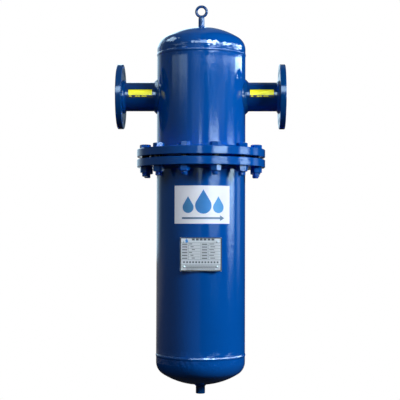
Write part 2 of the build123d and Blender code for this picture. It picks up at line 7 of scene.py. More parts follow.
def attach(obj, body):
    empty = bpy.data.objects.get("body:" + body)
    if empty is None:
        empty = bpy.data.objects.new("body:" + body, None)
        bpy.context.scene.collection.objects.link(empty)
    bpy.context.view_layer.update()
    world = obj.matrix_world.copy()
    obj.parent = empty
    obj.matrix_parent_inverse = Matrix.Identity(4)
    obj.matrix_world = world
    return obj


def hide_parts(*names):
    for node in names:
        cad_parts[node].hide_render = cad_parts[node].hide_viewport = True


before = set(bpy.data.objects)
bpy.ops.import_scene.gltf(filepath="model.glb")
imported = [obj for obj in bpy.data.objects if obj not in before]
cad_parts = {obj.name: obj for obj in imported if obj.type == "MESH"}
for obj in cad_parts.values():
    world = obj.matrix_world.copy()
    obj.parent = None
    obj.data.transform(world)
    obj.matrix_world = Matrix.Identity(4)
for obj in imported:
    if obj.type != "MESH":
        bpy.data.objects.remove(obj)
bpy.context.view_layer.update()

# Sizes taken over from the source, in metres
AXIS_X = 0.26
SHELL_R = 0.1365
ROOT_R = 0.132
PIPE_R = 0.0445
FACE_TO_FACE = 0.52
TOP_SEAM = 0.128
BOTTOM_SEAM = -0.7935
UPPER_BACK = -0.1645
LOWER_BACK = -0.2195
NOZZLE_BACK = 0.02
CROWN = 0.214471
SUMP_BOTTOM = -0.884471
FILM = 0.0003

# Camera: level with the middle of the vessel, a little to the outlet side
CAMERA_DISTANCE = 3.282
CAMERA_SIDE = radians(1.2)
CAMERA_HEIGHT = -0.408
FOCAL_PIXELS = 1064
EYE_LEVEL_DROP = 28.9
AXIS_SHIFT_PIXELS = 0.95
ROLL = radians(0.17)
SENSOR = 36
PHOTO_WIDTH = 400

camera_data = bpy.data.cameras.new("camera")
camera_data.sensor_width = SENSOR
camera_data.lens = FOCAL_PIXELS * SENSOR / PHOTO_WIDTH
camera_data.clip_end = 100
camera = bpy.data.objects.new("camera", camera_data)
bpy.context.scene.collection.objects.link(camera)
camera.location = (
    AXIS_X + CAMERA_DISTANCE * sin(CAMERA_SIDE), -CAMERA_DISTANCE * cos(CAMERA_SIDE), CAMERA_HEIGHT
)
aim = (
    Matrix.Rotation(CAMERA_SIDE + atan(AXIS_SHIFT_PIXELS / FOCAL_PIXELS), 3, "Z")
    @ Matrix.Rotation(pi / 2 + atan(EYE_LEVEL_DROP / FOCAL_PIXELS), 3, "X")
    @ Matrix.Rotation(ROLL, 3, "Z")
)
camera.rotation_euler = aim.to_euler()
bpy.context.scene.camera = camera
bpy.context.scene.view_settings.view_transform = "Standard"


# Node helpers
class Nodes:
    """Shorthand for building one node tree."""

    def __init__(self, tree):
        self.tree = tree

    def add(self, kind, **settings):
        node = self.tree.nodes.new(kind)
        for key, value in settings.items():
            setattr(node, key, value)
        return node

    def plug(self, socket, value):
        if isinstance(value, bpy.types.NodeSocket):
            self.tree.links.new(value, socket)
        else:
            socket.default_value = value

    def math(self, operation, *values, clamp=False):
        node = self.add("ShaderNodeMath", operation=operation, use_clamp=clamp)
        for socket, value in zip(node.inputs, values):
            self.plug(socket, value)
        return node.outputs[0]

    def step(self, value, low, high):
        """0 below `low`, 1 above `high`, smooth between; the other way round if high < low."""
        flip = high < low
        node = self.add("ShaderNodeMapRange", interpolation_type="SMOOTHSTEP")
        self.plug(node.inputs["Value"], value)
        node.inputs["From Min"].default_value = min(low, high)
        node.inputs["From Max"].default_value = max(low, high)
        node.inputs["To Min"].default_value = 1.0 if flip else 0.0
        node.inputs["To Max"].default_value = 0.0 if flip else 1.0
        return node.outputs["Result"]

    def band(self, value, low, high, soft):
        """1 between `low` and `high`, with edges `soft` wide."""
        return self.math(
            "MULTIPLY", self.step(value, low - soft, low + soft), self.step(value, high + soft, high - soft)
        )

    def noise(self, vector, scale, detail=2.0, roughness=0.5):
        node = self.add("ShaderNodeTexNoise")
        self.plug(node.inputs["Vector"], vector)
        node.inputs["Scale"].default_value = scale
        node.inputs["Detail"].default_value = detail
        node.inputs["Roughness"].default_value = roughness
        return node.outputs["Fac"]

    def mix(self, factor, first, second):
        node = self.add("ShaderNodeMix", data_type="RGBA")
        self.plug(node.inputs[0], factor)
        for socket, value in ((node.inputs[6], first), (node.inputs[7], second)):
            self.plug(socket, value if isinstance(value, bpy.types.NodeSocket) else (*value, 1))
        return node.outputs[2]

    def bump(self, height, strength, distance, normal=None):
        node = self.add("ShaderNodeBump")
        node.inputs["Strength"].default_value = strength
        node.inputs["Distance"].default_value = distance
        self.plug(node.inputs["Height"], height)
        if normal:
            self.plug(node.inputs["Normal"], normal)
        return node.outputs["Normal"]


def new_material(name):
    """Material with an empty principled shader, its nodes and the object coordinates."""
    material = bpy.data.materials.new(name)
    material.use_nodes = True
    nodes = Nodes(material.node_tree)
    shader = material.node_tree.nodes["Principled BSDF"]
    place = nodes.add("ShaderNodeTexCoord").outputs["Object"]
    return material, nodes, shader, place


# Materials
PAINT_BLUE = (0.0012, 0.103, 0.49)
PAINT_DEEP = (0.001, 0.092, 0.44)
# Darker nozzle blue: the shell enamel darkened, painted shade for the nozzles, their flanges and welds, the
# lifting eye, its boss and the drain socket.
NOZZLE_SHADED_BLUE = (0.0012, 0.06, 0.255)
NOZZLE_SHADED_DEEP = (0.001, 0.052, 0.22)
EYE_SPECULAR = 0.22
NOZZLE_FACE_R = 0.069
GROOVE_PITCH = 0.0008


def paint(name, peel=1.0, light=PAINT_BLUE, deep=PAINT_DEEP):
    """Sprayed gloss enamel: faint shade changes, orange peel, which is coarser on the lower vessel,
    puckers where the heads were drawn, and a fine grain in the gloss.
    """
    material, nodes, shader, place = new_material(name)
    cloud = nodes.noise(place, 9, 3)
    nodes.plug(shader.inputs["Base Color"], nodes.mix(cloud, light, deep))
    grain = nodes.noise(place, 900, 2)
    rough = nodes.add("ShaderNodeMapRange")
    nodes.plug(rough.inputs["Value"], grain)
    rough.inputs["From Min"].default_value = 0.3
    rough.inputs["From Max"].default_value = 0.7
    rough.inputs["To Min"].default_value = 0.03
    rough.inputs["To Max"].default_value = 0.12
    nodes.plug(shader.inputs["Roughness"], rough.outputs["Result"])
    shader.inputs["IOR"].default_value = 1.5
    height = nodes.add("ShaderNodeSeparateXYZ")
    nodes.plug(height.inputs[0], place)
    drawn = nodes.math(
        "ADD", nodes.band(height.outputs["Z"], TOP_SEAM, TOP_SEAM + 0.045, 0.02),
        nodes.band(height.outputs["Z"], BOTTOM_SEAM - 0.03, BOTTOM_SEAM + 0.01, 0.015),
    )
    puckers = nodes.math("MULTIPLY", nodes.noise(place, 38, 2, 0.6), drawn)
    waves = nodes.bump(nodes.noise(place, 20, 1), 0.04 * peel, 0.003)
    waves = nodes.bump(puckers, 0.55 * peel, 0.0045, waves)
    thick = nodes.math(
        "MULTIPLY_ADD", nodes.step(height.outputs["Z"], LOWER_BACK + 0.04, LOWER_BACK), 0.74, 0.26
    )
    grains = nodes.math("MULTIPLY", nodes.noise(place, 170, 2, 0.6), thick)
    orange = nodes.bump(grains, 0.19 * peel, 0.0016, waves)
    fine = nodes.bump(nodes.noise(place, 420, 2, 0.6), 0.05 * peel, 0.0008, orange)
    nodes.plug(shader.inputs["Normal"], fine)
    return material


def metal(name, colour, dark, scale, stretch=(1, 1, 1), rough=(0.3, 0.5), metallic=1.0, bump=0.1):
    """Bare or plated metal with a directional finish."""
    material, nodes, shader, place = new_material(name)
    mapping = nodes.add("ShaderNodeMapping")
    nodes.plug(mapping.inputs["Vector"], place)
    mapping.inputs["Scale"].default_value = stretch
    streak = nodes.noise(mapping.outputs["Vector"], scale, 4, 0.6)
    nodes.plug(shader.inputs["Base Color"], nodes.mix(streak, colour, dark))
    spread = nodes.add("ShaderNodeMapRange")
    nodes.plug(spread.inputs["Value"], streak)
    spread.inputs["To Min"].default_value = rough[0]
    spread.inputs["To Max"].default_value = rough[1]
    nodes.plug(shader.inputs["Roughness"], spread.outputs["Result"])
    shader.inputs["Metallic"].default_value = metallic
    nodes.plug(shader.inputs["Normal"], nodes.bump(streak, bump, 0.0005))
    return material


def matt(name, colour, dark, scale, rough=0.8, bump=0.3, depth=0.001, detail=4):
    """Rubber, sheet, foam or felt: a grainy dull surface."""
    material, nodes, shader, place = new_material(name)
    grain = nodes.noise(place, scale, detail, 0.6)
    nodes.plug(shader.inputs["Base Color"], nodes.mix(grain, colour, dark))
    shader.inputs["Roughness"].default_value = rough
    nodes.plug(shader.inputs["Normal"], nodes.bump(grain, bump, depth))
    return material


def film(name, colour, dark, rough, painted_glow=0.0):
    """Printed film: nearly even, with a slight mottle; with its last argument it also glows in its own
    colour, painted light that shows it brighter than the lamps light it.
    """
    material, nodes, shader, place = new_material(name)
    mottle = nodes.noise(place, 60, 3)
    nodes.plug(shader.inputs["Base Color"], nodes.mix(mottle, colour, dark))
    shader.inputs["Roughness"].default_value = rough
    if painted_glow:
        shader.inputs["Emission Color"].default_value = (*colour, 1)
        shader.inputs["Emission Strength"].default_value = painted_glow
    nodes.plug(shader.inputs["Normal"], nodes.bump(nodes.noise(place, 300, 2), 0.05, 0.0003))
    return material


def nozzle_flange_paint(name):
    """Enamel in the darker nozzle blue, painted shade, all over except the machined raised face, which is
    bare steel with a spiral finish.
    """
    material, nodes, shader, place = new_material(name)
    split = nodes.add("ShaderNodeSeparateXYZ")
    nodes.plug(split.inputs[0], place)
    across = nodes.math(
        "SQRT",
        nodes.math(
            "ADD", nodes.math("POWER", split.outputs["Y"], 2.0), nodes.math("POWER", split.outputs["Z"], 2.0)
        ),
    )
    from_middle = nodes.math("ABSOLUTE", nodes.math("SUBTRACT", split.outputs["X"], AXIS_X))
    on_face = nodes.step(from_middle, AXIS_X - 0.0004, AXIS_X - 0.0002)
    inside = nodes.step(across, NOZZLE_FACE_R + 0.0002, NOZZLE_FACE_R - 0.0002)
    bare = nodes.math("MULTIPLY", on_face, inside)
    cloud = nodes.noise(place, 9, 3)
    shaded_blue = nodes.mix(cloud, NOZZLE_SHADED_BLUE, NOZZLE_SHADED_DEEP)
    stain = nodes.noise(place, 70, 4)
    steel = nodes.mix(stain, (0.42, 0.41, 0.4), (0.3, 0.29, 0.28))
    nodes.plug(shader.inputs["Base Color"], nodes.mix(bare, shaded_blue, steel))
    nodes.plug(shader.inputs["Metallic"], bare)
    nodes.plug(shader.inputs["Roughness"], nodes.math("MULTIPLY_ADD", bare, 0.25, 0.14))
    rings = nodes.math("SINE", nodes.math("MULTIPLY", across, 2 * pi / GROOVE_PITCH))
    grooves = nodes.bump(nodes.math("MULTIPLY", rings, bare), 0.5, 0.0001)
    orange = nodes.bump(nodes.noise(place, 210, 2, 0.6), 0.2, 0.0008, grooves)
    nodes.plug(shader.inputs["Normal"], orange)
    return material


ENAMEL = paint("enamel")
ENAMEL_WELD = paint("enamel_on_weld", 0.7)
# The nozzle, eye, boss and drain socket enamels take the darker blue, painted shade; the eye and boss also
# shine less.
ENAMEL_NOZZLE_SHADED = paint("enamel_on_nozzle_painted_shade", 1.0, NOZZLE_SHADED_BLUE, NOZZLE_SHADED_DEEP)
ENAMEL_EYE_SHADED = paint("enamel_on_eye_painted_shade", 1.0, NOZZLE_SHADED_BLUE, NOZZLE_SHADED_DEEP)
ENAMEL_EYE_SHADED.node_tree.nodes["Principled BSDF"].inputs["Specular IOR Level"].default_value = EYE_SPECULAR
ENAMEL_FLANGE_SHADED = nozzle_flange_paint("painted_shade_enamel_and_bare_face")
GASKET = matt("gasket_sheet", (0.012, 0.013, 0.015), (0.03, 0.03, 0.032), 900, 0.85)
PLATE = metal(
    "satin_plate", (0.66, 0.66, 0.67), (0.57, 0.57, 0.58), 60, (1, 1, 30), (0.38, 0.55), 0.1, 0.05
)
PLATE_INK = film("plate_ink", (0.16, 0.17, 0.19), (0.22, 0.23, 0.25), 0.5)
PLATE_DARK = film("plate_dark_ink", (0.03, 0.033, 0.045), (0.06, 0.06, 0.07), 0.5)
# Near-black edge colour for the nameplate: painted shadow of the gap behind the plate's rim.
PLATE_EDGE_SHADOW = film("plate_edge_painted_shadow", (0.004, 0.004, 0.006), (0.008, 0.008, 0.01), 0.6)
RIVET = metal("rivet_metal", (0.55, 0.56, 0.58), (0.4, 0.41, 0.43), 300, rough=(0.3, 0.45))
# The white decal film glows a little: painted light that brightens its shaded side.
DECAL_GLOWING = film("decal_film", (0.74, 0.78, 0.88), (0.71, 0.76, 0.87), 0.25, 0.3)
DECAL_BLUE = film("decal_blue", (0.05, 0.24, 0.66), (0.06, 0.28, 0.68), 0.25)
DECAL_PALE = film("decal_pale_blue", (0.09, 0.36, 0.8), (0.11, 0.4, 0.82), 0.25)
DECAL_GREY = film("decal_grey", (0.14, 0.26, 0.42), (0.18, 0.3, 0.45), 0.25)
LABEL_DARK = film("label_dark", (0.006, 0.007, 0.008), (0.012, 0.012, 0.012), 0.3)
# The yellow label print glows: painted light that keeps it bright on the shaded nozzle pipes.
LABEL_YELLOW_GLOWING = film("label_yellow_glowing", (0.93, 0.86, 0.006), (0.88, 0.82, 0.01), 0.4, 0.4)
PRIMER = matt("inner_primer", (0.2, 0.07, 0.04), (0.28, 0.1, 0.06), 120, 0.65, 0.15, 0.0006)
ZINC = metal("zinc_steel", (0.62, 0.63, 0.6), (0.5, 0.52, 0.46), 40, rough=(0.25, 0.45))
# Near-black steel for the bolt shanks in the gap between the body flanges: dark bare steel, and painted
# shade that keeps the gap as dark as its shadow.
SHANK_STEEL_AND_SHADE = matt("dark_shank_steel_and_painted_shade", (0.006, 0.006, 0.007), (0.014, 0.013, 0.012), 500, 0.7, 0.1)
RUBBER = matt("seal_rubber", (0.01, 0.01, 0.01), (0.02, 0.02, 0.02), 700, 0.55, 0.1)
ALUMINIUM = metal("cap_aluminium", (0.76, 0.77, 0.78), (0.62, 0.63, 0.65), 80, rough=(0.25, 0.4))
CAGE = metal("cage_steel", (0.6, 0.6, 0.58), (0.45, 0.46, 0.44), 50, (1, 1, 6), (0.25, 0.4))
MEDIA = matt("filter_media", (0.84, 0.82, 0.76), (0.7, 0.68, 0.62), 1200, 0.95, 0.5, 0.0006)
FOAM = matt("drain_foam", (0.78, 0.64, 0.3), (0.55, 0.43, 0.18), 450, 0.95, 0.9, 0.002, 6)

BY_NODE = {
    "body_gasket": GASKET, "nameplate": PLATE, "nameplate_rivets": RIVET, "front_decal": DECAL_GLOWING,
    "inlet_label": LABEL_DARK, "outlet_label": LABEL_DARK, "inlet_elbow": PRIMER,
    "plenum_cover": PRIMER, "plenum_gasket": GASKET, "tube_plate": PRIMER, "plenum_screws": ZINC,
    "splash_plate": PRIMER, "splash_plate_lugs": PRIMER, "spigot_o_rings": RUBBER,
    "rod_bridges": ZINC, "tie_rods": ZINC, "seal_washers": RUBBER, "rod_nuts": ZINC,
    "inlet_flange": ENAMEL_FLANGE_SHADED, "outlet_flange": ENAMEL_FLANGE_SHADED,
    "inlet_pipe": ENAMEL_NOZZLE_SHADED, "outlet_pipe": ENAMEL_NOZZLE_SHADED, "lifting_eye": ENAMEL_EYE_SHADED,
    "lifting_boss": ENAMEL_EYE_SHADED, "drain_socket": ENAMEL_NOZZLE_SHADED,
}
BY_ENDING = {
    "top_cap": ALUMINIUM, "bottom_cap": ALUMINIUM, "core": CAGE, "cage": CAGE, "media": MEDIA,
    "sleeve": FOAM,
}


def node_material(name):
    """Finish of a CAD node: its own, that of its kind of element part, or the enamel."""
    if name.startswith("element_"):
        return BY_ENDING[name.split("_", 2)[2]]
    return BY_NODE.get(name, ENAMEL)


for node_name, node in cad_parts.items():
    node.data.materials.clear()
    node.data.materials.append(node_material(node_name))


# Mesh helpers
def piece(name, verts, faces, material, slot, replaced=(), sharp=None):
    """New piece of the object from mesh data, riding on the one body."""
    mesh = bpy.data.meshes.new(name)
    mesh.from_pydata([tuple(v) for v in verts], [], faces)
    shape = bmesh.new()
    shape.from_mesh(mesh)
    bmesh.ops.recalc_face_normals(shape, faces=shape.faces)
    shape.to_mesh(mesh)
    shape.free()
    for face in mesh.polygons:
        face.use_smooth = True
    if sharp:
        mesh.set_sharp_from_angle(angle=radians(sharp))
    mesh.materials.append(material)
    obj = bpy.data.objects.new(name, mesh)
    bpy.context.scene.collection.objects.link(obj)
    if replaced:
        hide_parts(*replaced)
    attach(obj, "root")
    return obj


def sweep(sections):
    """Closed loops of points joined into one closed ring."""
    count = len(sections[0])
    verts = [point for section in sections for point in section]
    faces = []
    for start in range(len(sections)):
        ahead = (start + 1) % len(sections)
        for corner in range(count):
            beside = (corner + 1) % count
            faces.append((
                start * count + corner, start * count + beside,
                ahead * count + beside, ahead * count + corner,
            ))
    return verts, faces


def merge(parts):
    """Several (verts, faces) as one."""
    verts, faces = [], []
    for part_verts, part_faces in parts:
        base = len(verts)
        verts.extend(part_verts)
        faces.extend([tuple(base + index for index in face) for face in part_faces])
    return verts, faces


# Weld beads
RIPPLE = 0.0042
STEPS_PER_RIPPLE = 6
BEAD_POINTS = 9


def bead(length, place, height, wander=0.0005, seed=0.0, ripple=0.00028, ridged=False):
    """Weld bead along a closed line.

    place(t) gives, for 0 <= t < 1, the hidden points, one edge, the other edge and the way out.
    """
    count = max(24, round(length / RIPPLE)) * STEPS_PER_RIPPLE
    ripples = count / STEPS_PER_RIPPLE
    sections = []
    for step in range(count):
        t = step / count
        hidden, first, second, out = place(t)
        across = second - first
        turn = Vector((cos(2 * pi * t), sin(2 * pi * t), seed)) * (length / 0.04)
        first = first - across.normalized() * wander * noise.noise(turn)
        second = second + across.normalized() * wander * noise.noise(turn + Vector((7, 3, 1)))
        swell = 1 + 0.22 * noise.noise(turn * 1.7 + Vector((2, 9, 4)))
        section = list(hidden) + [first]
        for index in range(1, BEAD_POINTS):
            u = index / BEAD_POINTS
            arch = 4 * u * (1 - u)
            phase = t * ripples + 0.55 * arch + 0.15 * noise.noise(turn * 3)
            wave = abs(sin(pi * phase)) - 0.6
            rise = 1 - abs(2 * u - 1) if ridged else arch ** 0.8
            lift = height * swell * rise + ripple * wave * min(1.0, arch * 2)
            section.append(first.lerp(second, u) + out * lift)
        section.append(second)
        sections.append(section)
    return sweep(sections)


def around_axis(t, r, z):
    """Point at the turn t round the vessel's axis."""
    return Vector((AXIS_X + r * cos(2 * pi * t), r * sin(2 * pi * t), z))


def radial(t, rise=0.0):
    """Unit way out from the vessel's axis at the turn t."""
    return Vector((cos(2 * pi * t), sin(2 * pi * t), rise)).normalized()


# Butt seams of the heads
CAP_HALF = 0.0054531
SEAM_SINK = 0.0001
SEAM_HEIGHT = 0.0014


def seam(z, seed):
    """Bead over the butt joint at the height z."""
    def place(t):
        hidden = [around_axis(t, ROOT_R, z)]
        low = around_axis(t, SHELL_R - SEAM_SINK, z - CAP_HALF)
        high = around_axis(t, SHELL_R - SEAM_SINK, z + CAP_HALF)
        return hidden, low, high, radial(t)
    return bead(2 * pi * SHELL_R, place, SEAM_HEIGHT, seed=seed, ripple=0.0002, ridged=True)


piece("top_seam_bead", *seam(TOP_SEAM, 0.3), ENAMEL_WELD, "vessel_paint", ("top_seam_weld",))
piece("bottom_seam_bead", *seam(BOTTOM_SEAM, 5.3), ENAMEL_WELD, "vessel_paint", ("bottom_seam_weld",))


# Fillets behind the body flanges, with the plain weld inside the set-back end
FLANGE_BORE_R = 0.137
FLANGE_LEG = 0.008
SHELL_END = 0.019
INNER_LEG = 0.005


def flange_fillet(back, up, seed):
    """Bead in the corner between the shell and the back of its flange."""
    def place(t):
        hidden = [around_axis(t, SHELL_R, back)]
        on_shell = around_axis(t, SHELL_R, back + up * FLANGE_LEG)
        on_plate = around_axis(t, SHELL_R + FLANGE_LEG, back)
        return hidden, on_shell, on_plate, radial(t, up)
    return bead(2 * pi * SHELL_R, place, 0.0007, seed=seed)


def plain_ring(points, count=180):
    """Closed section, given as (r, z), turned round the vessel's axis."""
    return sweep([[around_axis(s / count, r, z) for r, z in points] for s in range(count)])


for side, back, up, seed in (("upper", UPPER_BACK, 1, 1.3), ("lower", LOWER_BACK, -1, 2.6)):
    end = back - up * SHELL_END
    inner = plain_ring([
        (FLANGE_BORE_R, end), (FLANGE_BORE_R - INNER_LEG, end), (FLANGE_BORE_R, end - up * INNER_LEG),
    ])
    piece(
        f"{side}_flange_bead", *merge([flange_fillet(back, up, seed), inner]), ENAMEL_WELD,
        "vessel_paint", (f"{side}_flange_welds",),
    )

# Nozzle welds: saddle on the shell, fillet behind the flange, flush ring in the face
NOZZLE_LEG = 0.0098
SEAL_LEG = 0.0055
SEAL_STEPS = 120


def nozzle_beads(face_x, inward, seed):
    """The three welds of the nozzle with its face at face_x; inward is 1 or -1 along X."""
    def on_pipe(t, x, r=PIPE_R):
        return Vector((x, r * cos(2 * pi * t), r * sin(2 * pi * t)))

    def saddle(t):
        y, z = PIPE_R * cos(2 * pi * t), PIPE_R * sin(2 * pi * t)
        corner = Vector((AXIS_X - inward * sqrt(SHELL_R ** 2 - y ** 2), y, z))
        first = corner - Vector((inward * NOZZLE_LEG, 0, 0))
        grown = (PIPE_R + NOZZLE_LEG) / PIPE_R
        wide_y = y * grown
        second = Vector((AXIS_X - inward * sqrt(SHELL_R ** 2 - wide_y ** 2), wide_y, z * grown))
        out = (second - corner).normalized() - Vector((inward, 0, 0))
        return [corner], first, second, out.normalized()

    def back_fillet(t):
        back = face_x + inward * NOZZLE_BACK
        hidden = [on_pipe(t, back)]
        out = Vector((inward, cos(2 * pi * t), sin(2 * pi * t))).normalized()
        return hidden, on_pipe(t, back + inward * FLANGE_LEG), on_pipe(t, back, PIPE_R + FLANGE_LEG), out

    ring = [
        [
            on_pipe(s / SEAL_STEPS, face_x + inward * x, PIPE_R + r)
            for r, x in ((0, 0), (SEAL_LEG, 0), (0, SEAL_LEG))
        ]
        for s in range(SEAL_STEPS)
    ]
    around = 2 * pi * PIPE_R
    return merge([
        bead(around * 1.1, saddle, 0.0002, 0.0009, seed, 0.00035),
        bead(around, back_fillet, 0.0008, 0.0006, seed + 4, 0.0003), sweep(ring),
    ])


piece("inlet_beads", *nozzle_beads(0, 1, 0.7), ENAMEL_NOZZLE_SHADED, "vessel_paint", ("inlet_welds",))
piece("outlet_beads", *nozzle_beads(FACE_TO_FACE, -1, 8.1), ENAMEL_NOZZLE_SHADED, "vessel_paint", ("outlet_welds",))


# Small welds at the lifting boss and the drain socket
BOSS_R = 0.0095
DRAIN_R = 0.0142
SPOT_LEG = 0.005


def spot_bead(r, z, up, leg, slope, seed):
    """Bead round a rod of radius r on a head, which falls away by slope over the leg."""
    def place(t):
        hidden = [around_axis(t, r, z - up * slope * 0.2)]
        on_rod = around_axis(t, r, z + up * leg)
        on_head = around_axis(t, r + leg, z - up * slope)
        return hidden, on_rod, on_head, radial(t, up)
    return bead(2 * pi * r, place, 0.0007, 0.0003, seed, 0.0002)


piece(
    "boss_bead", *spot_bead(BOSS_R, CROWN - 0.0002, 1, SPOT_LEG, 0.0004, 3.1), ENAMEL_WELD,
    "vessel_paint", ("lifting_boss_weld",),
)
piece(
    "drain_bead", *spot_bead(DRAIN_R, SUMP_BOTTOM + 0.0004, -1, SPOT_LEG, 0.0006, 3.9), ENAMEL_WELD,
    "vessel_paint", ("drain_socket_weld",),
)


# Hexagon bolts and nuts of the body joint
BOLT_COUNT = 12
BOLT_CIRCLE_R = 0.175
BOLT_R = 0.01
BOLT_TIP = -0.2495
FLATS = 0.03
HEAD_HEIGHT = 0.0125
NUT_HEIGHT = 0.018
THREAD_PITCH = 0.0025
THREAD_DEPTH = 0.0013
WASHER_FACE = 0.0007
ROUND_STEPS = 72
ROD_STEPS = 36


def hex_rings(height, both_ends, washer):
    """Rings (z, radius by angle) up the side of a hexagon with turned corners."""
    corner = FLATS / sqrt(3)
    lip = FLATS / 2 * 0.96
    slope = tan(radians(30))
    levels = [0.0, washer, washer + 0.0001] if washer else [0.0]
    chamfer = (corner - lip) * slope
    if both_ends:
        levels += [chamfer * k / 4 for k in range(1, 5)]
    levels += [height - chamfer * k / 6 for k in range(6, -1, -1)]
    rings = []
    for z in levels:
        row = []
        for step in range(ROUND_STEPS):
            angle = 2 * pi * step / ROUND_STEPS
            side = FLATS / 2 / cos((angle + pi / 6) % (pi / 3) - pi / 6)
            limit = lip + (height - z) / slope
            if both_ends:
                limit = min(limit, lip + z / slope)
            if washer and z <= washer:
                limit = FLATS / 2 * 0.95
            row.append(min(side, limit))
        rings.append((z, row))
    return rings


def ring_stack(rings):
    """Closed solid from rings (z, radius by angle), with flat ends."""
    count = len(rings[0][1])
    verts, faces = [], []
    for z, row in rings:
        angles = [2 * pi * s / count for s in range(count)]
        verts += [Vector((r * cos(angle), r * sin(angle), z)) for r, angle in zip(row, angles)]
    for level in range(len(rings) - 1):
        for s in range(count):
            n = (s + 1) % count
            low, high = level * count, (level + 1) * count
            faces.append((low + s, low + n, high + n, high + s))
    faces.append(tuple(reversed(range(count))))
    faces.append(tuple(range((len(rings) - 1) * count, len(rings) * count)))
    return verts, faces


def threaded_rod(bottom, top):
    """Bolt end with a single-start thread and a turned-off tip."""
    rows = round((top - bottom) / (THREAD_PITCH / 8))
    rings = []
    for row in range(rows + 1):
        z = bottom + (top - bottom) * row / rows
        radii = []
        for s in range(ROD_STEPS):
            phase = (z / THREAD_PITCH - s / ROD_STEPS) % 1.0
            crest = abs(2 * phase - 1)
            r = BOLT_R - THREAD_DEPTH * (1 - min(1.0, crest * 1.25))
            radii.append(min(r, BOLT_R - 0.0022 + (z - bottom)))
        rings.append((z, radii))
    return ring_stack(rings)


def placed(part, spin, x, y, z, flip=False):
    """Copy of (verts, faces) turned about Z, perhaps turned upside down, and moved."""
    verts, faces = part
    turn = Matrix.Rotation(spin, 3, "Z")
    if flip:
        turn = turn @ Matrix.Rotation(pi, 3, "X")
    move = Vector((x, y, z))
    return [turn @ v + move for v in verts], faces


head_part = ring_stack(hex_rings(HEAD_HEIGHT, False, WASHER_FACE))
nut_part = ring_stack(hex_rings(NUT_HEIGHT, True, 0.0))
shank_ring = [BOLT_R] * ROD_STEPS
shank_part = ring_stack([(0.0, shank_ring), (UPPER_BACK - LOWER_BACK + 0.008, shank_ring)])
end_part = threaded_rod(BOLT_TIP, LOWER_BACK - 0.006)
bolt_parts, shank_parts, nut_parts = [], [], []
for number in range(BOLT_COUNT):
    angle = radians(15) + 2 * pi * number / BOLT_COUNT
    x = AXIS_X + BOLT_CIRCLE_R * cos(angle)
    y = BOLT_CIRCLE_R * sin(angle)
    spin = 2.4 * noise.noise(Vector((number * 3.7, 1.1, 0.4)))
    bolt_parts.append(placed(head_part, spin, x, y, UPPER_BACK))
    shank_parts.append(placed(shank_part, spin, x, y, LOWER_BACK - 0.007))
    bolt_parts.append(placed(end_part, spin, x, y, 0))
    nut_parts.append(placed(nut_part, 2.9 * spin, x, y, LOWER_BACK, True))
piece("body_bolt_set", *merge(bolt_parts), ENAMEL_WELD, "vessel_paint", ("body_bolts",), 35)
# The shanks in the flange gap are near black: partly painted shade of the gap.
piece("body_bolt_shanks", *merge(shank_parts), SHANK_STEEL_AND_SHADE, "vessel_paint", ("body_bolts",), 35)
piece("body_nut_set", *merge(nut_parts), ENAMEL_WELD, "vessel_paint", ("body_nuts",), 35)


# Prints on the stickers and the nameplate, and a painted shadow round the nameplate's edge: thin raised
# areas of ink
INK = 0.00008
WRAP_STEP = 0.003
WRAP_CUTS = 40


def wrapped(outline, spot):
    """Thin solid over a flat outline of (u, v) points; spot(u, v, lift) gives the place in space."""
    shape = bmesh.new()
    corners = [shape.verts.new((u, v, 0)) for u, v in outline]
    shape.faces.new(corners)
    for cut in range(-WRAP_CUTS, WRAP_CUTS + 1):
        bmesh.ops.bisect_plane(
            shape, geom=shape.verts[:] + shape.edges[:] + shape.faces[:],
            plane_co=(cut * WRAP_STEP, 0, 0), plane_no=(1, 0, 0), dist=1e-7,
        )
    bmesh.ops.triangulate(shape, faces=shape.faces[:])
    shape.verts.index_update()
    flat = [(v.co.x, v.co.y) for v in shape.verts]
    triangles = [tuple(v.index for v in face.verts) for face in shape.faces]
    rims = [(e.verts[0].index, e.verts[1].index) for e in shape.edges if len(e.link_faces) == 1]
    shape.free()
    count = len(flat)
    verts = [spot(u, v, INK) for u, v in flat] + [spot(u, v, 0) for u, v in flat]
    faces = list(triangles) + [tuple(count + i for i in reversed(face)) for face in triangles]
    faces += [(a, b, count + b, count + a) for a, b in rims]
    return verts, faces


def rectangle(u, v, width, height):
    """Outline of a rectangle about (u, v)."""
    w, h = width / 2, height / 2
    return [(u - w, v - h), (u + w, v - h), (u + w, v + h), (u - w, v + h)]


DECAL_Z = -0.336
DECAL_TURN = radians(3)


def on_decal(u, v, lift):
    """Place of (u, v) on the decal, round the lower shell."""
    angle = u / SHELL_R + DECAL_TURN
    r = SHELL_R + FILM + lift
    return Vector((AXIS_X + r * sin(angle), -r * cos(angle), DECAL_Z + v))


def drop(u, v, size):
    """Outline of a water drop: three quarters of a circle with straight flanks up to its point."""
    r = size * 0.34
    middle = v - size / 2 + r
    tip = size - r
    start = atan2(sqrt(tip ** 2 - r ** 2), r)
    arc = [pi / 2 + start + (2 * pi - 2 * start) * step / 40 for step in range(41)]
    return [(u, middle + tip)] + [(u + r * cos(a), middle + r * sin(a)) for a in arc]


def arrow(u, v, length, thick, head):
    """Outline of a plain arrow to the right."""
    a, b = u - length / 2, u + length / 2
    neck = b - head
    return [
        (a, v - thick / 2), (neck, v - thick / 2), (neck, v - head * 0.6), (b, v),
        (neck, v + head * 0.6), (neck, v + thick / 2), (a, v + thick / 2),
    ]


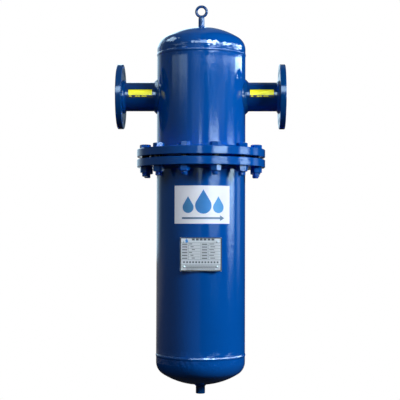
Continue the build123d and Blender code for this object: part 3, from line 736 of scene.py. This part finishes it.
piece(
    "decal_print_drop", *wrapped(drop(0.003, 0.009, 0.072), on_decal), DECAL_BLUE, "decal_film", (), 30
)
piece(
    "decal_print_side_drops",
    *merge([wrapped(drop(-0.043, 0.0, 0.05), on_decal), wrapped(drop(0.049, 0.0, 0.05), on_decal)]),
    DECAL_PALE, "decal_film", (), 30,
)
piece(
    "decal_print_flow", *wrapped(arrow(0.003, -0.04, 0.13, 0.0055, 0.014), on_decal), DECAL_GREY,
    "decal_film", (), 30,
)

LABEL_TURN = radians(7.5)
LABEL_MIDDLE = 0.074


def label_spot(middle_x):
    """Gives the function for places on the label round the nozzle pipe at middle_x."""
    def spot(u, v, lift):
        angle = LABEL_TURN + v / PIPE_R
        r = PIPE_R + FILM + lift
        return Vector((middle_x + u, -r * cos(angle), r * sin(angle)))
    return spot


def flat_bars(spot, bars):
    """Thin solids over rectangles (u, v, width, height), cut across v so that they bend with it."""
    parts = []
    for u, v, width, height in bars:
        strips = max(1, round(height / 0.002))
        for strip in range(strips):
            centre = v - height / 2 + (strip + 0.5) * height / strips
            corners = rectangle(u, centre, width, height / strips)
            verts = [spot(a, b, INK) for a, b in corners] + [spot(a, b, 0) for a, b in corners]
            parts.append((verts, [
                (0, 1, 2, 3), (7, 6, 5, 4), (0, 4, 5, 1), (1, 5, 6, 2), (2, 6, 7, 3), (3, 7, 4, 0),
            ]))
    return merge(parts)


for port, middle_x in (("inlet", LABEL_MIDDLE), ("outlet", FACE_TO_FACE - LABEL_MIDDLE)):
    bars = [(0, 0.0035, 0.072, 0.0165)]
    bars += [(u, -0.0085, 0.007, 0.0028) for u in (-0.03, -0.012, -0.004, 0.008, 0.016)]
    piece(
        f"{port}_label_print", *flat_bars(label_spot(middle_x), bars), LABEL_YELLOW_GLOWING, "label_film", (), 30
    )

PLATE_X = 0.263
PLATE_Y = -0.1425
PLATE_Z = -0.483
TABLE_TOP = 0.034
TABLE_ROW = 0.0083
TABLE_ROWS = 6


def on_plate(u, v, lift):
    """Place of (u, v) on the face of the nameplate."""
    return Vector((PLATE_X + u, PLATE_Y - lift, PLATE_Z + v))


rules = [(0, TABLE_TOP, 0.118, 0.0012), (0, -0.016, 0.118, 0.0012), (0, -0.03, 0.118, 0.001)]
rules += [
    (-0.03 + shift, TABLE_TOP - TABLE_ROW * row, 0.056, 0.0009)
    for row in range(1, TABLE_ROWS) for shift in (0, 0.06)
]
rules += [(u, 0.009, 0.0009, 0.049) for u in (-0.059, -0.036, 0.0, 0.022, 0.059)]
fields = [
    (u, TABLE_TOP - TABLE_ROW * (row + 0.5), 0.016, 0.003)
    for row in range(TABLE_ROWS) for u in (-0.0475, 0.011)
]
fields += [
    (-0.03 + 0.004 * (row % 3), 0.0305 - TABLE_ROW * row, 0.009, 0.0022) for row in range(TABLE_ROWS)
]
fields += [
    (0.032 + 0.003 * (row % 2), 0.0305 - TABLE_ROW * row, 0.014, 0.0022) for row in range(TABLE_ROWS)
]
fields += [(-0.0495 + 0.009 * k, -0.0232, 0.005, 0.005) for k in range(12)]
fields += [(0.003 * (row % 2), -0.0345 - 0.0043 * row, 0.108 - 0.012 * row, 0.0022) for row in range(3)]
fields += [(-0.022 + 0.0115 * k, 0.0435, 0.0085, 0.0055) for k in range(6)]
# Dark bars round the plate's edge: painted shadow, where the plate stands off its bracket.
edge_shadow_bars = [(u, 0, 0.0036, 0.0966) for u in (-0.0602, 0.0602)]
edge_shadow_bars += [(0, v, 0.1168, 0.0034) for v in (-0.0483, 0.0483)]
for print_name, bars, ink in (
    ("rules", rules, PLATE_INK), ("fields", fields, PLATE_DARK), ("frame", edge_shadow_bars, PLATE_EDGE_SHADOW),
):
    piece(f"nameplate_{print_name}", *flat_bars(on_plate, bars), ink, "plate_metal", (), 30)
piece(
    "nameplate_mark", *wrapped(drop(-0.042, 0.0405, 0.013), on_plate), DECAL_BLUE, "plate_metal", (), 30
)


# World: white to the camera; for reflections a dim room with a pale backdrop and soft windows
AMBIENT = 0.03
DAYLIGHT = (1.0, 1.4, 1.7)
WHITE = (1.0, 1.0, 1.0)
WINDOWS = (
    # azimuth from, to; elevation from, to; strength
    (-80, -57, 7.9, 13, 0.85), (-57, -35, 7.9, 13, 1.75), (-22, 16, 11, 31, 7.0),
    (16, 42, 10.8, 30, 30.0), (42, 60, 10.3, 22, 7.0), (60, 84, 10.2, 20, 20.0), (84, 100, 8.9, 15, 5.0),
    (100, 130, 8.4, 15, 14.0), (-125, -88, 32, 50, 4.0), (-22, 8, 4.9, 7.8, 0.28), (40, 64, 4.9, 7.8, 0.3),
    (24, 50, 1.6, 3.9, 4.5), (22, 47, 3.9, 4.7, 17.0), (74, 96, 0.5, 3.9, 8.0), (72, 92, 3.9, 4.7, 4.5),
    (80, 87, -2.5, 0.5, 1.2), (-4, 2, 3.4, 4.7, 7.0), (108, 122, -1.5, 4.7, 0.9),
)

world = bpy.data.worlds.new("studio")
world.use_nodes = True
bpy.context.scene.world = world
sky = Nodes(world.node_tree)
background = world.node_tree.nodes["Background"]
direction = sky.add("ShaderNodeSeparateXYZ")
sky.plug(direction.inputs[0], sky.add("ShaderNodeTexCoord").outputs["Generated"])
to_x, to_y, to_z = direction.outputs
azimuth = sky.math(
    "MULTIPLY", sky.math("ARCTAN2", to_x, sky.math("MULTIPLY", to_y, -1.0)), 180 / pi
)
elevation = sky.math("MULTIPLY", sky.math("ARCSINE", to_z), 180 / pi)


def window(az_low, az_high, el_low, el_high, strength, soft=2.0):
    """Soft-edged bright area of the room, in degrees from the camera's side and above the horizon."""
    area = sky.math(
        "MULTIPLY", sky.band(azimuth, az_low, az_high, soft), sky.band(elevation, el_low, el_high, soft / 4)
    )
    return sky.math("MULTIPLY", area, strength)


room = sky.math("MULTIPLY_ADD", sky.step(azimuth, 3, -3), 0.12, 0.008)
behind_left = sky.math("MULTIPLY", sky.step(azimuth, -120, -150), sky.step(elevation, 36, 26))
backdrop = sky.math("MULTIPLY", behind_left, sky.math("MULTIPLY_ADD", sky.step(elevation, 8, 14), 1.0, 0.6))
backdrop = sky.math("ADD", backdrop, sky.math("MULTIPLY", sky.step(azimuth, 165, 178), 0.16))
glow = sky.math("ADD", room, backdrop)
for area in WINDOWS:
    glow = sky.math("ADD", glow, window(*area))
glow = sky.math("MULTIPLY", glow, sky.step(elevation, -12, -2))
light_path = sky.add("ShaderNodeLightPath")
seen = sky.math(
    "ADD", light_path.outputs["Is Camera Ray"], light_path.outputs["Is Transmission Ray"], clamp=True
)
glossy = light_path.outputs["Is Glossy Ray"]
shade = sky.math("MULTIPLY", sky.math("SUBTRACT", 1.0, glossy), AMBIENT)
others = sky.math("ADD", sky.math("MULTIPLY", glow, glossy), shade)
level = sky.math("ADD", seen, sky.math("MULTIPLY", others, sky.math("SUBTRACT", 1.0, seen)))
sky.plug(background.inputs["Color"], sky.mix(seen, DAYLIGHT, WHITE))
sky.plug(background.inputs["Strength"], level)


# Lamps
VESSEL_MIDDLE = Vector((AXIS_X, 0, -0.32))


def lamp(name, az, el, distance, size, power):
    """Square soft lamp aimed at the middle of the vessel."""
    data = bpy.data.lights.new(name, "AREA")
    data.shape = "SQUARE"
    data.size = size
    data.energy = power
    obj = bpy.data.objects.new(name, data)
    bpy.context.scene.collection.objects.link(obj)
    way = Vector((
        sin(radians(az)) * cos(radians(el)), -cos(radians(az)) * cos(radians(el)), sin(radians(el))
    ))
    obj.location = VESSEL_MIDDLE + way * distance
    obj.rotation_euler = way.to_track_quat("Z", "Y").to_euler()
    obj.visible_glossy = False


lamp("key", 57, 20, 4.0, 1.4, 150)
lamp("fill", -24, 32, 4.0, 2.5, 24)
lamp("top", 10, 80, 3.5, 2.0, 2)
lamp("rear", 165, 35, 4.5, 2.5, 55)

# Floor, well below the hanging vessel
FLOOR_Z = -1.35
FLOOR_HALF = 30
FLOOR_PALE = (0.62, 0.62, 0.62, 1)
FLOOR_DIM = (0.03, 0.03, 0.03, 1)
FLOOR_OWN_LIGHT = 0.42
floor_mesh = bpy.data.meshes.new("floor")
floor_mesh.from_pydata(
    [(AXIS_X + a * FLOOR_HALF, b * FLOOR_HALF, FLOOR_Z) for a, b in ((-1, -1), (1, -1), (1, 1), (-1, 1))],
    [], [(0, 1, 2, 3)],
)
floor = bpy.data.objects.new("floor", floor_mesh)
bpy.context.scene.collection.objects.link(floor)
floor_material = bpy.data.materials.new("floor")
floor_material.use_nodes = True
ground = Nodes(floor_material.node_tree)
floor_mesh.materials.append(floor_material)
output = floor_material.node_tree.nodes["Material Output"]
floor_material.node_tree.nodes.remove(floor_material.node_tree.nodes["Principled BSDF"])
spot_place = ground.add("ShaderNodeSeparateXYZ")
ground.plug(spot_place.inputs[0], ground.add("ShaderNodeTexCoord").outputs["Object"])
off_x = ground.math("SUBTRACT", spot_place.outputs["X"], AXIS_X)
off_axis = ground.math(
    "SQRT",
    ground.math("ADD", ground.math("POWER", off_x, 2.0), ground.math("POWER", spot_place.outputs["Y"], 2.0)),
)
far = ground.step(off_axis, 0.8, 2.2)
path = ground.add("ShaderNodeLightPath")
to_camera = path.outputs["Is Camera Ray"]
# To the camera: a pale floor that keeps the shadow and fades to white
pale = ground.add("ShaderNodeBsdfDiffuse")
pale.inputs["Color"].default_value = FLOOR_PALE
own_light = ground.add("ShaderNodeEmission")
own_light.inputs["Strength"].default_value = FLOOR_OWN_LIGHT
lit = ground.add("ShaderNodeAddShader")
ground.plug(lit.inputs[0], pale.outputs[0])
ground.plug(lit.inputs[1], own_light.outputs[0])
white = ground.add("ShaderNodeEmission")
near_or_far = ground.add("ShaderNodeMixShader")
ground.plug(near_or_far.inputs[0], far)
ground.plug(near_or_far.inputs[1], lit.outputs[0])
ground.plug(near_or_far.inputs[2], white.outputs[0])
# To all other rays: a dim floor, with a little shine for reflections at the far left
dim = ground.add("ShaderNodeBsdfDiffuse")
dim.inputs["Color"].default_value = FLOOR_DIM
left = ground.math("MULTIPLY", ground.step(off_x, 0.3, -0.3), ground.step(off_axis, 2.5, 5.0))
behind = ground.step(spot_place.outputs["Y"], 3.5, 7.5)
shine = ground.add("ShaderNodeEmission")
ground.plug(shine.inputs["Strength"], ground.math(
    "MULTIPLY", ground.math("MULTIPLY", left, ground.math("MULTIPLY_ADD", behind, 0.15, 0.12)),
    path.outputs["Is Glossy Ray"],
))
unseen = ground.add("ShaderNodeAddShader")
ground.plug(unseen.inputs[0], dim.outputs[0])
ground.plug(unseen.inputs[1], shine.outputs[0])
choice = ground.add("ShaderNodeMixShader")
ground.plug(choice.inputs[0], to_camera)
ground.plug(choice.inputs[1], unseen.outputs[0])
ground.plug(choice.inputs[2], near_or_far.outputs[0])
ground.plug(output.inputs["Surface"], choice.outputs[0])
